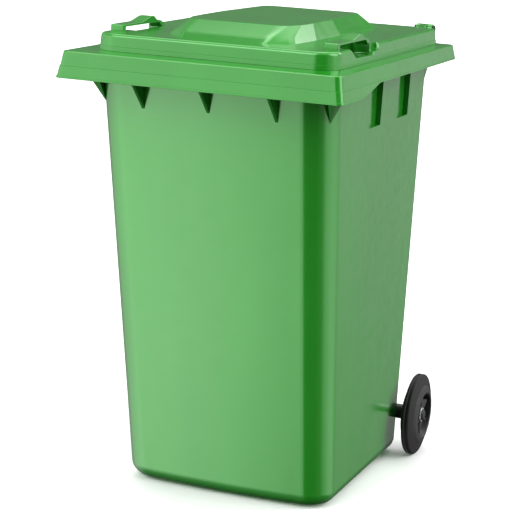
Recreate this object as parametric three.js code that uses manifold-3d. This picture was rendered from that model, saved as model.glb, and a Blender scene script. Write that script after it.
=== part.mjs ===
// A two-wheeled 360 litre refuse bin: one moulded tub with a comb-lift rim, a hinged domed lid,
// and a steel axle with two wheels.
//
// Millimetres, +Z up. The front of the bin faces -Y and +X is on the right of someone facing it.
// Depths ("y") are measured back from the front edge of the rim; the outermost group then moves
// the whole bin so that its origin is on the ground at the centre of its plan.
import * as THREE from "three";
import { mergeVertices } from "three/addons/utils/BufferGeometryUtils.js";
import Module from "manifold-3d";

const wasm = await Module();
wasm.setup();

// ---- driving dimensions ----------------------------------------------------------------------
const GAP = 0.3;                 // clearance between touching pieces
const PAST = 20;                 // how far a cutting tool runs past the face it cuts
const SUNK = 0.5;                // how far a fitting is sunk into the wall it grows from
const SIDES = [-1, 1];
const FACETS = { bar: 24, hinge: 20, wheelRim: 40, tyre: 48 };   // sides of the round pieces
const LONGEST_ROUNDING = 0.49;   // of the shorter edge at a rounded corner

const WALL = 4.5;                // tub wall and rim thickness
const TUB = {
  frontAtBase: 255, frontAtRim: 68.5,
  backAtBase: 788, backAtRim: 774.5,
  halfAtBase: 249, halfAtRim: 269,
  frontRadiusAtBase: 62, frontRadiusAtRim: 70,
  backRadius: 34,
  frontBow: 7.6,                 // the front wall is slightly convex
  frontBowAtMouth: 3,
  baseEdgeRadius: 38,
  rimZ: 956,                     // up to here the walls are drafted
  mouthZ: 985,                   // from here up all walls are upright
};
const FLOOR = { underside: 11, footFront: 330, footHalf: 190, footBack: 720, rearRise: 420 };

// The rim is a flat plate; its apron hangs from the edge and is shallower along the sides.
const RIM = { top: 1013.5, half: 312.6, depth: 833, cornerRadius: 14 };
const APRON = {
  draft: 0.179, wall: 4, frontBottom: 956, sideBottom: 979,
  sideEdge: [[74, 954], [110, 956.5], [166, 964], [245, 979]],     // where it gets shallower
};

// Plates between the front apron and the front wall; their lower edge slopes from toe to tip.
const FRONT_RIB = { spacing: 152, width: 6, toe: [14, 958], tip: [78, 896] };
// Side ribs under the rim: a rectangle at the rim that narrows to a tip on the wall.
const CORNER_RIB = { x: 285, y: 88, width: 40, length: 100, tipX: 258, tipY: 112, tipZ: 902 };
const REAR_RIB = { x: 258, y: 795, width: 16, length: 60, tipX: 252, tipY: 764, tipZ: 890 };
const RIB_TIP = 1;               // half the width of a rib at its tip

// Tall pockets in each side wall that run up under the rim.
const POCKET = { depth: 13, bottom: 863, fronts: [342, 546], width: 82, proud: 6 };

const HANDLE = {
  y: 846, z: 958, radius: 14, half: 186,
  recessHalf: 178, recessFront: 800,                                // finger notch in the rear rim
  bracketWidth: 10, middleBracketWidth: 12, bracketBottom: 900, bracketNose: 12, bracketEase: 2,
};

const AXLE = { y: 781, z: 100, radius: 10, halfLength: 316 };
const BORE = 10.4;               // running bore of everything on the axle
const AXLE_BAY = { half: 205, front: 750, top: 134 };
const BOSS = { radius: 23, seatClearance: 0.8 };
const BEARING = { x: 70, width: 10, bottom: 60, nose: 20, cheek: 14, cheekRise: 18 };
const SPACER = { radius: 18, inner: 236.3 };
const WASHER = { radius: 17, thickness: 1.6 };
// The push-on caps of the axle: radii, then distances along the axle.
const CAP = {
  lip: 14.5, shoulder: 12.5, crown: 11.5, tip: 7,
  lipWidth: 1, shoulderStart: 2, tipStart: 2, proud: 2.4,
};

// Wheel outlines are [distance out from the wheel's middle plane, radius].
const WHEEL = { centre: 296, hubInner: 274.5, hubOuter: 310 };
const WHEEL_RIBS = { count: 6, width: 5, depth: 26, innerRadius: 18, outerRadius: 51 };
const TYRE_OUTLINE = [
  [-16, 74.3], [16, 74.3], [15.5, 77], [11.5, 90], [9, 97.5], [6.5, 100], [3, 100], [2.2, 95],
  [-2.2, 95], [-3, 100], [-6.5, 100], [-9, 97.5], [-11.5, 90], [-15.5, 77],
];
const WHEEL_RIM_OUTLINE = [
  [-21.5, BORE], [14, BORE], [14, 19], [5, 22], [4, 49], [20, 53.5], [22, 56], [20, 66],
  [15.7, 74], [-15.7, 74], [-20, 66], [-21, 56], [-19, 53], [-4, 49], [-5, 22], [-21.5, 19],
];

const LID = {
  half: 275, front: 69, back: 822, height: 36.5, skin: 3.5,
  frontRadius: 50, backRadius: 22, draft: 0.07, edgeRadius: 5, edgeEase: 1.5,
};
// The right half of each of the dome's edges, from front to back, as [x, depth, height above the
// lid's top]: its foot (sunk below the top), the crease across its front, and its crown.
const DOME_EDGES = [
  [[83, 121, -4], [148, 165, -4], [155, 290, -4], [158, 450, -4], [161, 690, -4], [142, 716, -4]],
  [[112, 155, 13.7], [137, 200, 13.7], [148, 300, 8], [152, 450, 2], [157, 688, 2], [140, 711, 2]],
  [
    [112, 212, 33.5], [127, 262, 33.5], [130, 330, 33.5],
    [131, 450, 33.5], [119, 668, 33.5], [106, 684, 33.5],
  ],
];
// The finger recess under each grip, and the longer notch it makes in the lid's side wall:
// [depth, height above the lid's foot, corner radius].
const DISH = { inner: 222, notchInner: 262 };
const DISH_OUTLINE = [
  [166, 47, 0], [178, 35, 12], [208, 15.5, 16], [300, 13.7, 20], [327, 13.2, 4], [329, 47, 0],
];
const NOTCH_OUTLINE = [
  [300, 47, 0], [300, 13.7, 0], [329, 13.2, 6], [336, 19, 6], [364, 23, 8], [371, 47, 0],
];
// A grip is a strap on a nub and a rear foot, with a lip on its top:
// [depth, height above the lid's top, corner radius].
const GRIP = { inner: 229, outer: 259 };
const GRIP_OUTLINE = [
  [141, -3, 0], [141, 9.6, 1.5], [312, 8.8, 8], [328, -3, 0], [342, -3, 0], [342, 3, 2], [326, 11.5, 6],
  [300, 15.5, 5], [286, 24, 6], [270, 24.4, 10], [223, 14.7, 20], [127, 14.5, 3], [127, -3, 0],
];

const HINGE = {
  y: 848, z: 1042, radius: 14, pin: 7, lugBore: 7.4, knuckleBore: 7.6,
  innerLug: 213, knuckleInner: 222, knuckleOuter: 239.6, outerLug: 252, knuckleGap: 0.4,
  lugFront: 824, lugBack: 843, lugWaist: 4,
  headRadius: 11, headDepth: 4, capRadius: 10.5, capDepth: 6, pinPastLug: 4,
};
const ARM = { footBelowAxis: 12, topSetback: 6 };

const lidBottom = RIM.top + GAP;
const lidTop = lidBottom + LID.height;
const rimUnderside = RIM.top - WALL;
const frontOverhang = (RIM.top - APRON.frontBottom) * APRON.draft;
const wheelRadius = Math.max(...TYRE_OUTLINE.map(([, radius]) => radius));
const planCentre = (AXLE.y + wheelRadius - frontOverhang) / 2;

const COLOURS = { green: 0x3f9a45, black: 0x1b1b1c, rubber: 0x2b2c2d, zinc: 0xb4b8bb };

// ---- solids ----------------------------------------------------------------------------------
// A closed three.js geometry as a manifold solid.
function solid(geometry) {
  const bare = geometry.index ? geometry.toNonIndexed() : geometry.clone();
  for (const name of Object.keys(bare.attributes)) {
    if (name !== "position") bare.deleteAttribute(name);
  }
  const merged = mergeVertices(bare, 1e-4);
  const mesh = new wasm.Mesh({
    numProp: 3,
    vertProperties: new Float32Array(merged.attributes.position.array),
    triVerts: new Uint32Array(merged.index.array),
  });
  return new wasm.Manifold(mesh);
}

function geometryOf(shape) {
  const mesh = shape.getMesh();
  const geometry = new THREE.BufferGeometry();
  geometry.setAttribute("position", new THREE.BufferAttribute(mesh.vertProperties, 3));
  geometry.setIndex(new THREE.BufferAttribute(mesh.triVerts, 1));
  const faceted = geometry.toNonIndexed();
  faceted.computeVertexNormals();
  return faceted;
}

const join = (first, ...others) => others.reduce((whole, next) => whole.add(next), first);
const cut = (first, ...others) => others.reduce((whole, next) => whole.subtract(next), first);

// A block between two opposite corners.
function block([x0, y0, z0], [x1, y1, z1]) {
  const geometry = new THREE.BoxGeometry(x1 - x0, y1 - y0, z1 - z0);
  geometry.translate((x0 + x1) / 2, (y0 + y1) / 2, (z0 + z1) / 2);
  return solid(geometry);
}

// A round bar along X, centred on the line (y, z).
function bar(x0, x1, y, z, radius, sides = FACETS.bar) {
  const geometry = new THREE.CylinderGeometry(radius, radius, x1 - x0, sides);
  geometry.rotateZ(Math.PI / 2);
  geometry.translate((x0 + x1) / 2, y, z);
  return solid(geometry);
}

// The same bar between distances `a` and `b` from the middle, on the given side.
function sideBar(side, a, b, y, z, radius, sides) {
  const [x0, x1] = sideSpan(side, a, b);
  return bar(x0, x1, y, z, radius, sides);
}

function sideSpan(side, a, b) {
  return side > 0 ? [a, b] : [-b, -a];
}

// A closed outline from [u, v, radius] corners, each rounded over about that radius.
function softened(corners, steps = 3) {
  return corners.flatMap(([u, v, radius], i) => {
    if (radius === 0) return [[u, v]];
    const corner = new THREE.Vector2(u, v);
    const before = new THREE.Vector2(...corners.at(i - 1)).sub(corner);
    const after = new THREE.Vector2(...corners[(i + 1) % corners.length]).sub(corner);
    const halfAngle = before.angleTo(after) / 2;
    const longest = Math.min(before.length(), after.length()) * LONGEST_ROUNDING;
    const reach = Math.min(radius / Math.tan(halfAngle), longest);
    const arc = new THREE.QuadraticBezierCurve(
      corner.clone().addScaledVector(before.normalize(), reach),
      corner,
      corner.clone().addScaledVector(after.normalize(), reach),
    );
    return arc.getPoints(steps).map((point) => [point.x, point.y]);
  });
}

// An outline given as [y, z] points, extruded along X from x0 to x1.
function sidePlate(points, x0, x1) {
  const shape = new THREE.Shape(points.map(([y, z]) => new THREE.Vector2(y, z)));
  const geometry = new THREE.ExtrudeGeometry(shape, { depth: x1 - x0, bevelEnabled: false });
  geometry.applyMatrix4(new THREE.Matrix4().set(0, 0, 1, x0, 1, 0, 0, 0, 0, 1, 0, 0, 0, 0, 0, 1));
  return solid(geometry);
}

// A skin over a stack of closed rings, each an array of Vector3 with the same number of points.
function loft(rings) {
  const count = rings[0].length;
  const positions = rings.flat().flatMap((point) => [point.x, point.y, point.z]);
  const index = [];
  for (let level = 0; level + 1 < rings.length; level += 1) {
    for (let i = 0; i < count; i += 1) {
      const a = level * count + i;
      const b = level * count + ((i + 1) % count);
      index.push(a, b, b + count, a, b + count, a + count);
    }
  }
  const inPlan = (ring) => ring.map((point) => new THREE.Vector2(point.x, point.y));
  const cap = (ring) => THREE.ShapeUtils.triangulateShape(inPlan(ring), []);
  const lastStart = (rings.length - 1) * count;
  for (const [a, b, c] of cap(rings[0])) index.push(a, c, b);
  for (const [a, b, c] of cap(rings.at(-1))) index.push(lastStart + a, lastStart + b, lastStart + c);
  const geometry = new THREE.BufferGeometry();
  geometry.setAttribute("position", new THREE.Float32BufferAttribute(positions, 3));
  geometry.setIndex(index);
  return solid(geometry);
}

// A plan ring at height z: a rectangle symmetrical about X = 0 with rounded corners, and a front
// side bowed forwards by `bow` at its middle.
function roundedRing({
  half, front, back, frontRadius, backRadius, z, bow = 0, arcSteps = 6, frontSteps = 6,
}) {
  const ring = [];
  const corner = (centreX, centreY, radius, startAngle) => {
    for (let i = 0; i <= arcSteps; i += 1) {
      const angle = startAngle + (Math.PI / 2) * (i / arcSteps);
      ring.push(new THREE.Vector3(
        centreX + radius * Math.cos(angle), centreY + radius * Math.sin(angle), z));
    }
  };
  const flatHalf = half - frontRadius;
  corner(half - backRadius, back - backRadius, backRadius, 0);
  corner(-half + backRadius, back - backRadius, backRadius, Math.PI / 2);
  corner(-flatHalf, front + frontRadius, frontRadius, Math.PI);
  for (let i = 1; i < frontSteps; i += 1) {
    const x = -flatHalf + 2 * flatHalf * (i / frontSteps);
    ring.push(new THREE.Vector3(x, front - bow * (1 - (x / flatHalf) ** 2), z));
  }
  corner(flatHalf, front + frontRadius, frontRadius, Math.PI * 1.5);
  return ring;
}

// ---- tub -------------------------------------------------------------------------------------
// One plan ring of the tub at height z, moved inwards by `inset`.
function tubRing(z, inset) {
  const rise = Math.min(z / TUB.rimZ, 1);
  const between = (base, rim) => base + (rim - base) * rise;
  return roundedRing({
    half: between(TUB.halfAtBase, TUB.halfAtRim) - inset,
    front: between(TUB.frontAtBase, TUB.frontAtRim) + inset,
    back: between(TUB.backAtBase, TUB.backAtRim) - inset,
    frontRadius: between(TUB.frontRadiusAtBase, TUB.frontRadiusAtRim) - inset / 2,
    backRadius: TUB.backRadius - inset / 2,
    bow: z < TUB.mouthZ ? TUB.frontBow : TUB.frontBowAtMouth,
    z,
  });
}

// The tub's outer form, or with `skin` its hollow. The base edge is a quarter round.
function tubForm(bottom, top, skin) {
  const radius = TUB.baseEdgeRadius - skin;
  const rings = [];
  const edgeSteps = 4;
  for (let i = 0; i <= edgeSteps; i += 1) {
    const angle = (Math.PI / 2) * (i / edgeSteps);
    rings.push(tubRing(bottom + radius * (1 - Math.cos(angle)), skin + radius * (1 - Math.sin(angle))));
  }
  for (const z of [TUB.rimZ / 2, TUB.rimZ, TUB.mouthZ, top]) rings.push(tubRing(z, skin));
  return loft(rings);
}

function rimRing(z, inset) {
  return roundedRing({
    half: RIM.half - inset, front: inset, back: RIM.depth - inset,
    frontRadius: RIM.cornerRadius, backRadius: RIM.cornerRadius, z, arcSteps: 3, frontSteps: 1,
  });
}

// The flat rim and the apron that hangs from its edge, drafted outwards.
function rimAndApron() {
  const spread = (z) => -(RIM.top - z) * APRON.draft;
  const bottom = APRON.frontBottom;
  const outer = loft([rimRing(bottom, spread(bottom)), rimRing(RIM.top, 0)]);
  const inner = loft([
    rimRing(bottom - PAST, spread(bottom - PAST) + APRON.wall),
    rimRing(rimUnderside, spread(rimUnderside) + APRON.wall),
  ]);
  const wide = RIM.half + 2 * PAST;
  const behind = RIM.depth + 2 * PAST;
  const firstY = APRON.sideEdge[0][0];
  const step = sidePlate([
    [firstY, bottom - PAST],
    ...APRON.sideEdge,
    [behind, APRON.sideBottom],
    [behind, bottom - PAST],
  ], -wide, wide);
  return cut(outer, inner, step);
}

// A spike-shaped rib: a rectangle under the rim that narrows to a tip on the wall.
function rib({ x, y, width, length, tipX, tipY, tipZ }) {
  const rectangle = (cx, cy, halfX, halfY, z) => [
    new THREE.Vector3(cx - halfX, cy - halfY, z),
    new THREE.Vector3(cx + halfX, cy - halfY, z),
    new THREE.Vector3(cx + halfX, cy + halfY, z),
    new THREE.Vector3(cx - halfX, cy + halfY, z),
  ];
  return loft([
    rectangle(tipX, tipY, RIB_TIP, RIB_TIP, tipZ),
    rectangle(x, y, width / 2, length / 2, RIM.top - WALL / 2),
  ]);
}

function rimRibs() {
  const top = RIM.top - WALL / 2;
  const plate = [[APRON.wall / 2, top], FRONT_RIB.toe, FRONT_RIB.tip, [TUB.frontAtRim, top]];
  const frontRibs = [-1, 0, 1].map((step) => {
    const x = step * FRONT_RIB.spacing;
    return sidePlate(plate, x - FRONT_RIB.width / 2, x + FRONT_RIB.width / 2);
  });
  const mirrored = (side, spec) => rib({ ...spec, x: side * spec.x, tipX: side * spec.tipX });
  const sideRibs = SIDES.flatMap((side) => [mirrored(side, CORNER_RIB), mirrored(side, REAR_RIB)]);
  return [...frontRibs, ...sideRibs];
}

// The pockets as cutting tools; with `skin` the larger blocks that leave their walls standing.
function pocketTools(skin) {
  const inner = TUB.halfAtRim - POCKET.depth - skin;
  const outer = TUB.halfAtRim + POCKET.proud;
  const top = rimUnderside + (skin > 0 ? SUNK : 0);
  return SIDES.flatMap((side) => POCKET.fronts.map((front) => {
    const [x0, x1] = sideSpan(side, inner, outer);
    return block([x0, front - skin, POCKET.bottom - skin], [x1, front + POCKET.width + skin, top]);
  }));
}

// Rear handle: a round bar on three brackets, in a notch of the rear rim.
function rearHandle() {
  const { y, z, radius, half, bracketWidth, middleBracketWidth, bracketNose } = HANDLE;
  const noseHalf = radius - HANDLE.bracketEase;
  const wallY = TUB.backAtRim - WALL / 2;
  const outline = [
    [wallY, HANDLE.bracketBottom],
    [y + bracketNose / 2, z - noseHalf],
    [y + bracketNose, z],
    [y + bracketNose / 2, z + noseHalf],
    [HANDLE.recessFront, rimUnderside],
    [wallY, RIM.top - WALL / 2],
  ];
  return join(
    bar(-half, half, y, z, radius),
    sidePlate(outline, -half, bracketWidth - half),
    sidePlate(outline, -middleBracketWidth / 2, middleBracketWidth / 2),
    sidePlate(outline, half - bracketWidth, half),
  );
}

// The notch in the rear rim that makes room for fingers behind the handle.
function handleNotch() {
  return block(
    [-HANDLE.recessHalf, HANDLE.recessFront, APRON.sideBottom - PAST],
    [HANDLE.recessHalf, RIM.depth + PAST, RIM.top + PAST],
  );
}

// Points round the hinge axis between two angles measured from +Y towards +Z.
function hingeArc(radius, startAngle, endAngle, steps) {
  const points = [];
  for (let i = 0; i <= steps; i += 1) {
    const angle = startAngle + (endAngle - startAngle) * (i / steps);
    points.push([HINGE.y + radius * Math.cos(angle), HINGE.z + radius * Math.sin(angle)]);
  }
  return points;
}

// The two pairs of lugs that rise from the rear rim and hold the ends of the hinge pins.
function hingeLugs() {
  const outline = [
    [HINGE.lugFront, rimUnderside],
    [HINGE.lugBack, rimUnderside],
    [HINGE.y + HINGE.radius, HINGE.z - HINGE.lugWaist],
    ...hingeArc(HINGE.radius, 0, Math.PI, 8),
  ];
  const spans = [
    [HINGE.innerLug, HINGE.knuckleInner - HINGE.knuckleGap],
    [HINGE.knuckleOuter + HINGE.knuckleGap, HINGE.outerLug],
  ];
  return SIDES.flatMap((side) => spans.map(([a, b]) => sidePlate(outline, ...sideSpan(side, a, b))));
}

// The bay under the rear edge of the tub that the axle crosses.
function axleBay(half, skin) {
  return block(
    [-half, AXLE_BAY.front - skin, -PAST],
    [half, TUB.backAtBase + PAST, AXLE_BAY.top + skin],
  );
}

// Two webs that carry the middle of the axle inside its bay.
function bearingWebs() {
  const bayFront = AXLE_BAY.front - 2 * SUNK;
  const bayTop = AXLE_BAY.top + 2 * SUNK;
  const outline = [
    [bayFront, BEARING.bottom],
    [AXLE.y + BEARING.cheek, AXLE.z - BEARING.cheekRise],
    [AXLE.y + BEARING.nose, AXLE.z],
    [AXLE.y + BEARING.cheek, AXLE.z + BEARING.cheekRise],
    [AXLE.y, bayTop],
    [bayFront, bayTop],
  ];
  return SIDES.map((side) => sidePlate(
    outline, side * BEARING.x - BEARING.width / 2, side * BEARING.x + BEARING.width / 2));
}

// The underside stands on a front foot and two side rails: the middle and the rear are raised.
function undersideRecesses() {
  const middle = block(
    [-FLOOR.footHalf, FLOOR.footFront, -PAST],
    [FLOOR.footHalf, FLOOR.footBack, FLOOR.underside],
  );
  const rearRise = sidePlate([
    [FLOOR.rearRise, 0],
    [FLOOR.rearRise, -PAST],
    [TUB.backAtBase + PAST, -PAST],
    [TUB.backAtBase + PAST, FLOOR.underside],
  ], -TUB.halfAtRim, TUB.halfAtRim);
  return [middle, rearRise];
}

function binBody() {
  const form = cut(
    tubForm(0, RIM.top - WALL / 2, 0),
    axleBay(AXLE_BAY.half, 0),
    ...undersideRecesses(),
  );
  const rim = cut(join(rimAndApron(), ...rimRibs(), ...hingeLugs()), handleNotch());
  const seatInner = SPACER.inner - GAP;
  const bosses = SIDES.map((side) => sideBar(
    side, AXLE_BAY.half, seatInner, AXLE.y, AXLE.z, BOSS.radius));
  const whole = join(form, rim, rearHandle(), ...bosses, ...bearingWebs());

  // Inside, the cover over the axle bay runs the full width of the tub.
  const hollow = cut(
    tubForm(FLOOR.underside + WALL, RIM.top + PAST, WALL),
    axleBay(TUB.halfAtRim, WALL),
    ...pocketTools(WALL),
  );
  const axleBore = bar(-WHEEL.hubInner, WHEEL.hubInner, AXLE.y, AXLE.z, BORE);
  const spacerSeats = SIDES.map((side) => sideBar(
    side, seatInner, WHEEL.hubInner, AXLE.y, AXLE.z, SPACER.radius + BOSS.seatClearance));
  const hingeBores = SIDES.map((side) => sideBar(
    side, HINGE.innerLug - PAST, HINGE.outerLug + PAST, HINGE.y, HINGE.z, HINGE.lugBore, FACETS.hinge));
  return cut(whole, hollow, axleBore, ...spacerSeats, ...hingeBores, ...pocketTools(0));
}

// ---- lid -------------------------------------------------------------------------------------
function lidRing(z, inset) {
  return roundedRing({
    half: LID.half - inset, front: LID.front + inset, back: LID.back - inset,
    frontRadius: LID.frontRadius - inset, backRadius: LID.backRadius - inset / 2, z, frontSteps: 1,
  });
}

function lidTray(skin) {
  const bottom = skin > 0 ? lidBottom - PAST : lidBottom;
  const shoulder = lidTop - LID.edgeRadius;
  const drafted = (z) => (z - lidBottom) * LID.draft + skin;
  return loft([
    lidRing(bottom, drafted(bottom)),
    lidRing(shoulder - skin, drafted(shoulder)),
    lidRing(lidTop - LID.edgeEase - skin, drafted(shoulder) + LID.edgeEase),
    lidRing(lidTop - skin, drafted(shoulder) + LID.edgeRadius),
  ]);
}

// The dome is a loft over its edges; with `skin` it is the dome's hollow.
function dome(skin) {
  return loft(DOME_EDGES.map((edge) => {
    const right = edge.map(([x, y, height], i) => {
      const inset = i < 2 ? skin : -skin;
      return new THREE.Vector3(x - skin, y + inset, lidTop + height - skin);
    });
    const left = right.map((point) => new THREE.Vector3(-point.x, point.y, point.z)).reverse();
    return [...right, ...left];
  }));
}

// The finger recess under a grip, open through the lid's side wall. `skin` is the thickness to
// leave under and around it.
function dish(side, skin) {
  const tool = (outline, inner) => {
    const middleY = (outline[0][0] + outline.at(-1)[0]) / 2;
    const corners = outline.map(([y, height, radius]) => [
      y < middleY ? y - skin : y + skin, lidBottom + height - skin, radius]);
    return sidePlate(softened(corners), ...sideSpan(side, inner - skin, LID.half + PAST));
  };
  return join(tool(DISH_OUTLINE, DISH.inner), tool(NOTCH_OUTLINE, DISH.notchInner));
}

// A lid grip: a nub at its front end and a strap over the recess to its rear foot.
function lidGrip(side) {
  const corners = GRIP_OUTLINE.map(([y, height, radius]) => [y, lidTop + height, radius]);
  return sidePlate(softened(corners), ...sideSpan(side, GRIP.inner, GRIP.outer));
}

// An arm from the lid's rear wall to its knuckle on the hinge pin.
function lidArm(side) {
  const wallY = LID.back - (lidTop - lidBottom) * LID.draft - LID.skin / 2;
  const outline = [
    [wallY, HINGE.z - ARM.footBelowAxis],
    ...hingeArc(HINGE.radius, -Math.PI / 2, Math.PI / 2, 12),
    [wallY - ARM.topSetback, lidTop - SUNK],
  ];
  return sidePlate(outline, ...sideSpan(side, HINGE.knuckleInner, HINGE.knuckleOuter));
}

function lid() {
  const outer = cut(join(lidTray(0), dome(0)), ...SIDES.map((side) => dish(side, 0)));
  const hollow = cut(
    join(lidTray(LID.skin), dome(LID.skin)),
    ...SIDES.map((side) => dish(side, LID.skin)),
  );
  const fittings = SIDES.flatMap((side) => [lidGrip(side), lidArm(side)]);
  const knuckleBore = bar(-LID.half, LID.half, HINGE.y, HINGE.z, HINGE.knuckleBore, FACETS.hinge);
  return cut(join(cut(outer, hollow), ...fittings), knuckleBore);
}

// ---- hinge pins, the right-hand ones ---------------------------------------------------------
function hingePin() {
  const { y, z, innerLug, outerLug } = HINGE;
  const shank = bar(innerLug - HINGE.pinPastLug, outerLug + 2 * GAP, y, z, HINGE.pin, FACETS.hinge);
  const head = bar(outerLug + GAP, outerLug + HINGE.headDepth, y, z, HINGE.headRadius, FACETS.hinge);
  return join(shank, head);
}

function hingePinCap() {
  const { y, z, innerLug } = HINGE;
  const cap = bar(innerLug - HINGE.capDepth, innerLug - GAP, y, z, HINGE.capRadius, FACETS.hinge);
  const socket = bar(innerLug - HINGE.pinPastLug - GAP, innerLug, y, z, HINGE.lugBore, FACETS.hinge);
  return cut(cap, socket);
}

// ---- axle and wheels, the right-hand ones ----------------------------------------------------
// A ring turned about the axle from [x, radius] points.
function turned(points, sides) {
  const closed = [...points, points[0]].reverse().map(([x, radius]) => new THREE.Vector2(radius, x));
  const geometry = new THREE.LatheGeometry(closed, sides);
  geometry.rotateZ(-Math.PI / 2);
  geometry.translate(0, AXLE.y, AXLE.z);
  return solid(geometry);
}

const fromWheelCentre = (outline) => outline.map(([offset, radius]) => [WHEEL.centre + offset, radius]);

function sleeve(x0, x1, radius) {
  return turned([[x0, BORE], [x1, BORE], [x1, radius], [x0, radius]], FACETS.bar);
}

function tyre() {
  return turned(fromWheelCentre(TYRE_OUTLINE), FACETS.tyre);
}

function wheelRim() {
  const disc = turned(fromWheelCentre(WHEEL_RIM_OUTLINE), FACETS.wheelRim);
  const { count, width, depth, innerRadius, outerRadius } = WHEEL_RIBS;
  const ribs = [];
  for (let i = 0; i < count; i += 1) {
    const geometry = new THREE.BoxGeometry(depth, width, outerRadius - innerRadius);
    geometry.translate(WHEEL.centre, 0, (innerRadius + outerRadius) / 2);
    geometry.rotateX((Math.PI * 2 * i) / count);
    geometry.translate(0, AXLE.y, AXLE.z);
    ribs.push(solid(geometry));
  }
  return join(disc, ...ribs);
}

function innerWasher() {
  const outerFace = WHEEL.hubInner - GAP;
  return sleeve(outerFace - WASHER.thickness, outerFace, WASHER.radius);
}

function outerWasher() {
  const innerFace = WHEEL.hubOuter + GAP;
  return sleeve(innerFace, innerFace + WASHER.thickness, WASHER.radius);
}

function spacer() {
  return sleeve(SPACER.inner, WHEEL.hubInner - 2 * GAP - WASHER.thickness, SPACER.radius);
}

// A push-on cap over the end of the axle.
function axleCap() {
  const start = WHEEL.hubOuter + 2 * GAP + WASHER.thickness;
  const end = AXLE.halfLength;
  return turned([
    [start, BORE], [end + GAP, BORE], [end + GAP, 0], [end + CAP.proud, 0],
    [end + CAP.tipStart, CAP.tip], [end, CAP.crown], [start + CAP.shoulderStart, CAP.shoulder],
    [start + CAP.lipWidth, CAP.lip], [start, CAP.lip],
  ], FACETS.bar);
}

// ---- assembly --------------------------------------------------------------------------------
function material(colour, roughness, metalness = 0) {
  return new THREE.MeshStandardMaterial({ color: colour, roughness, metalness });
}

const bin = new THREE.Group();
bin.position.y = -planCentre;

function place(name, shape, look) {
  const mesh = new THREE.Mesh(geometryOf(shape), look);
  mesh.name = name;
  bin.add(mesh);
}

const MIRROR_X = [-1, 1, 1];
const green = () => material(COLOURS.green, 0.32);
const black = () => material(COLOURS.black, 0.5);
const rubber = () => material(COLOURS.rubber, 0.7);
const zinc = () => material(COLOURS.zinc, 0.4, 1);

place("bin_body", binBody(), green());
place("lid", lid(), green());
place("axle", bar(-AXLE.halfLength, AXLE.halfLength, AXLE.y, AXLE.z, AXLE.radius), zinc());
const pairs = [
  ["hinge_pin", hingePin, black],
  ["hinge_pin_cap", hingePinCap, black],
  ["wheel_rim", wheelRim, black],
  ["tyre", tyre, rubber],
  ["axle_spacer", spacer, black],
  ["inner_washer", innerWasher, zinc],
  ["outer_washer", outerWasher, zinc],
  ["axle_cap", axleCap, black],
];
for (const [name, make, look] of pairs) {
  place(`${name}_right`, make(), look());
  place(`${name}_left`, make().scale(MIRROR_X), look());
}

export default bin;
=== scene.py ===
"""Looks for the two-wheeled refuse bin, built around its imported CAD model.

Sizes are in millimetres. Depths are measured back from the front edge of the rim, and heights up
from the ground. at() turns such a point into the frame's metres.
"""

import math

import bmesh
import bpy
import numpy as np
from mathutils import Matrix, Vector


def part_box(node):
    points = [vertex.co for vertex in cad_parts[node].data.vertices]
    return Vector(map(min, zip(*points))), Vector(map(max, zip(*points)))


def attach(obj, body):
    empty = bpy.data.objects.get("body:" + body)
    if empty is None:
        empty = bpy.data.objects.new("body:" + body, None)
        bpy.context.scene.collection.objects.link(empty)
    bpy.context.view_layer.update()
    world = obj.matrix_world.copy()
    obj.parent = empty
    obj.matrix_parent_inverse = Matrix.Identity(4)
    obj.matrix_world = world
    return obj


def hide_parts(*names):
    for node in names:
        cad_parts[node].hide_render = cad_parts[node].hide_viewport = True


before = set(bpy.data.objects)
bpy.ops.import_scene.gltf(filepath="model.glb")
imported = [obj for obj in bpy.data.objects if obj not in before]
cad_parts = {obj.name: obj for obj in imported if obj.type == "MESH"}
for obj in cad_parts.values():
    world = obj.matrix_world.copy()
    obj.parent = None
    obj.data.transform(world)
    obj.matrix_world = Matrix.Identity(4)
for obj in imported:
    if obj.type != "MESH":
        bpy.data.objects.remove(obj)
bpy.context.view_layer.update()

# ---- driving dimensions ------------------------------------------------------------------------
MM = 0.001
GAP = 0.3                      # clearance between touching pieces
PAST = 20                      # how far a cutting tool runs past the face it cuts
ARC_STEPS = 14                 # facets in a quarter round seen in plan
CRISP = 0.01                   # edge rounding of a round cutting tool
NEAR_AXIS = 0.01               # radius at which a turned solid closes
SHARP_ANGLE = 32               # degrees; a bend beyond this stays a crisp edge
SIDES = (-1, 1)

AXLE_DEPTH = 781
AXLE_HEIGHT = 100
AXLE = {"radius": 10, "half": 316, "edge": 1.2, "bore": 10.4}
axle_low, axle_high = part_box("axle")
PLAN_CENTRE = AXLE_DEPTH - (axle_low[1] + axle_high[1]) / 2 / MM

WALL = 4.5
TUB = {
    "front": (255, 68.5), "back": (788, 774.5), "half": (249, 269),       # at the base, at the rim
    "front_radius": (62, 70), "back_radius": (34, 34),
    "bow": 7.6, "mouth_bow": 3, "base_edge": 38, "rim_z": 956,
    "mouth_middle": 970, "mouth_z": 985,
}
FLOOR = {"underside": 11, "foot_front": 330, "foot_half": 190, "foot_back": 720, "rear_rise": 420}
RIM = {"top": 1013.5, "half": 312.6, "depth": 833, "corner": 14, "edge": 3.2}
APRON = {"draft": 0.179, "bottom": 956, "side_bottom": 979, "wall": 4}
# Where the apron gets shallower along the side: depth, height, corner radius.
APRON_STEP = [(74, 954, 0), (110, 956.5, 60), (166, 964, 60), (245, 979, 60)]
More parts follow.
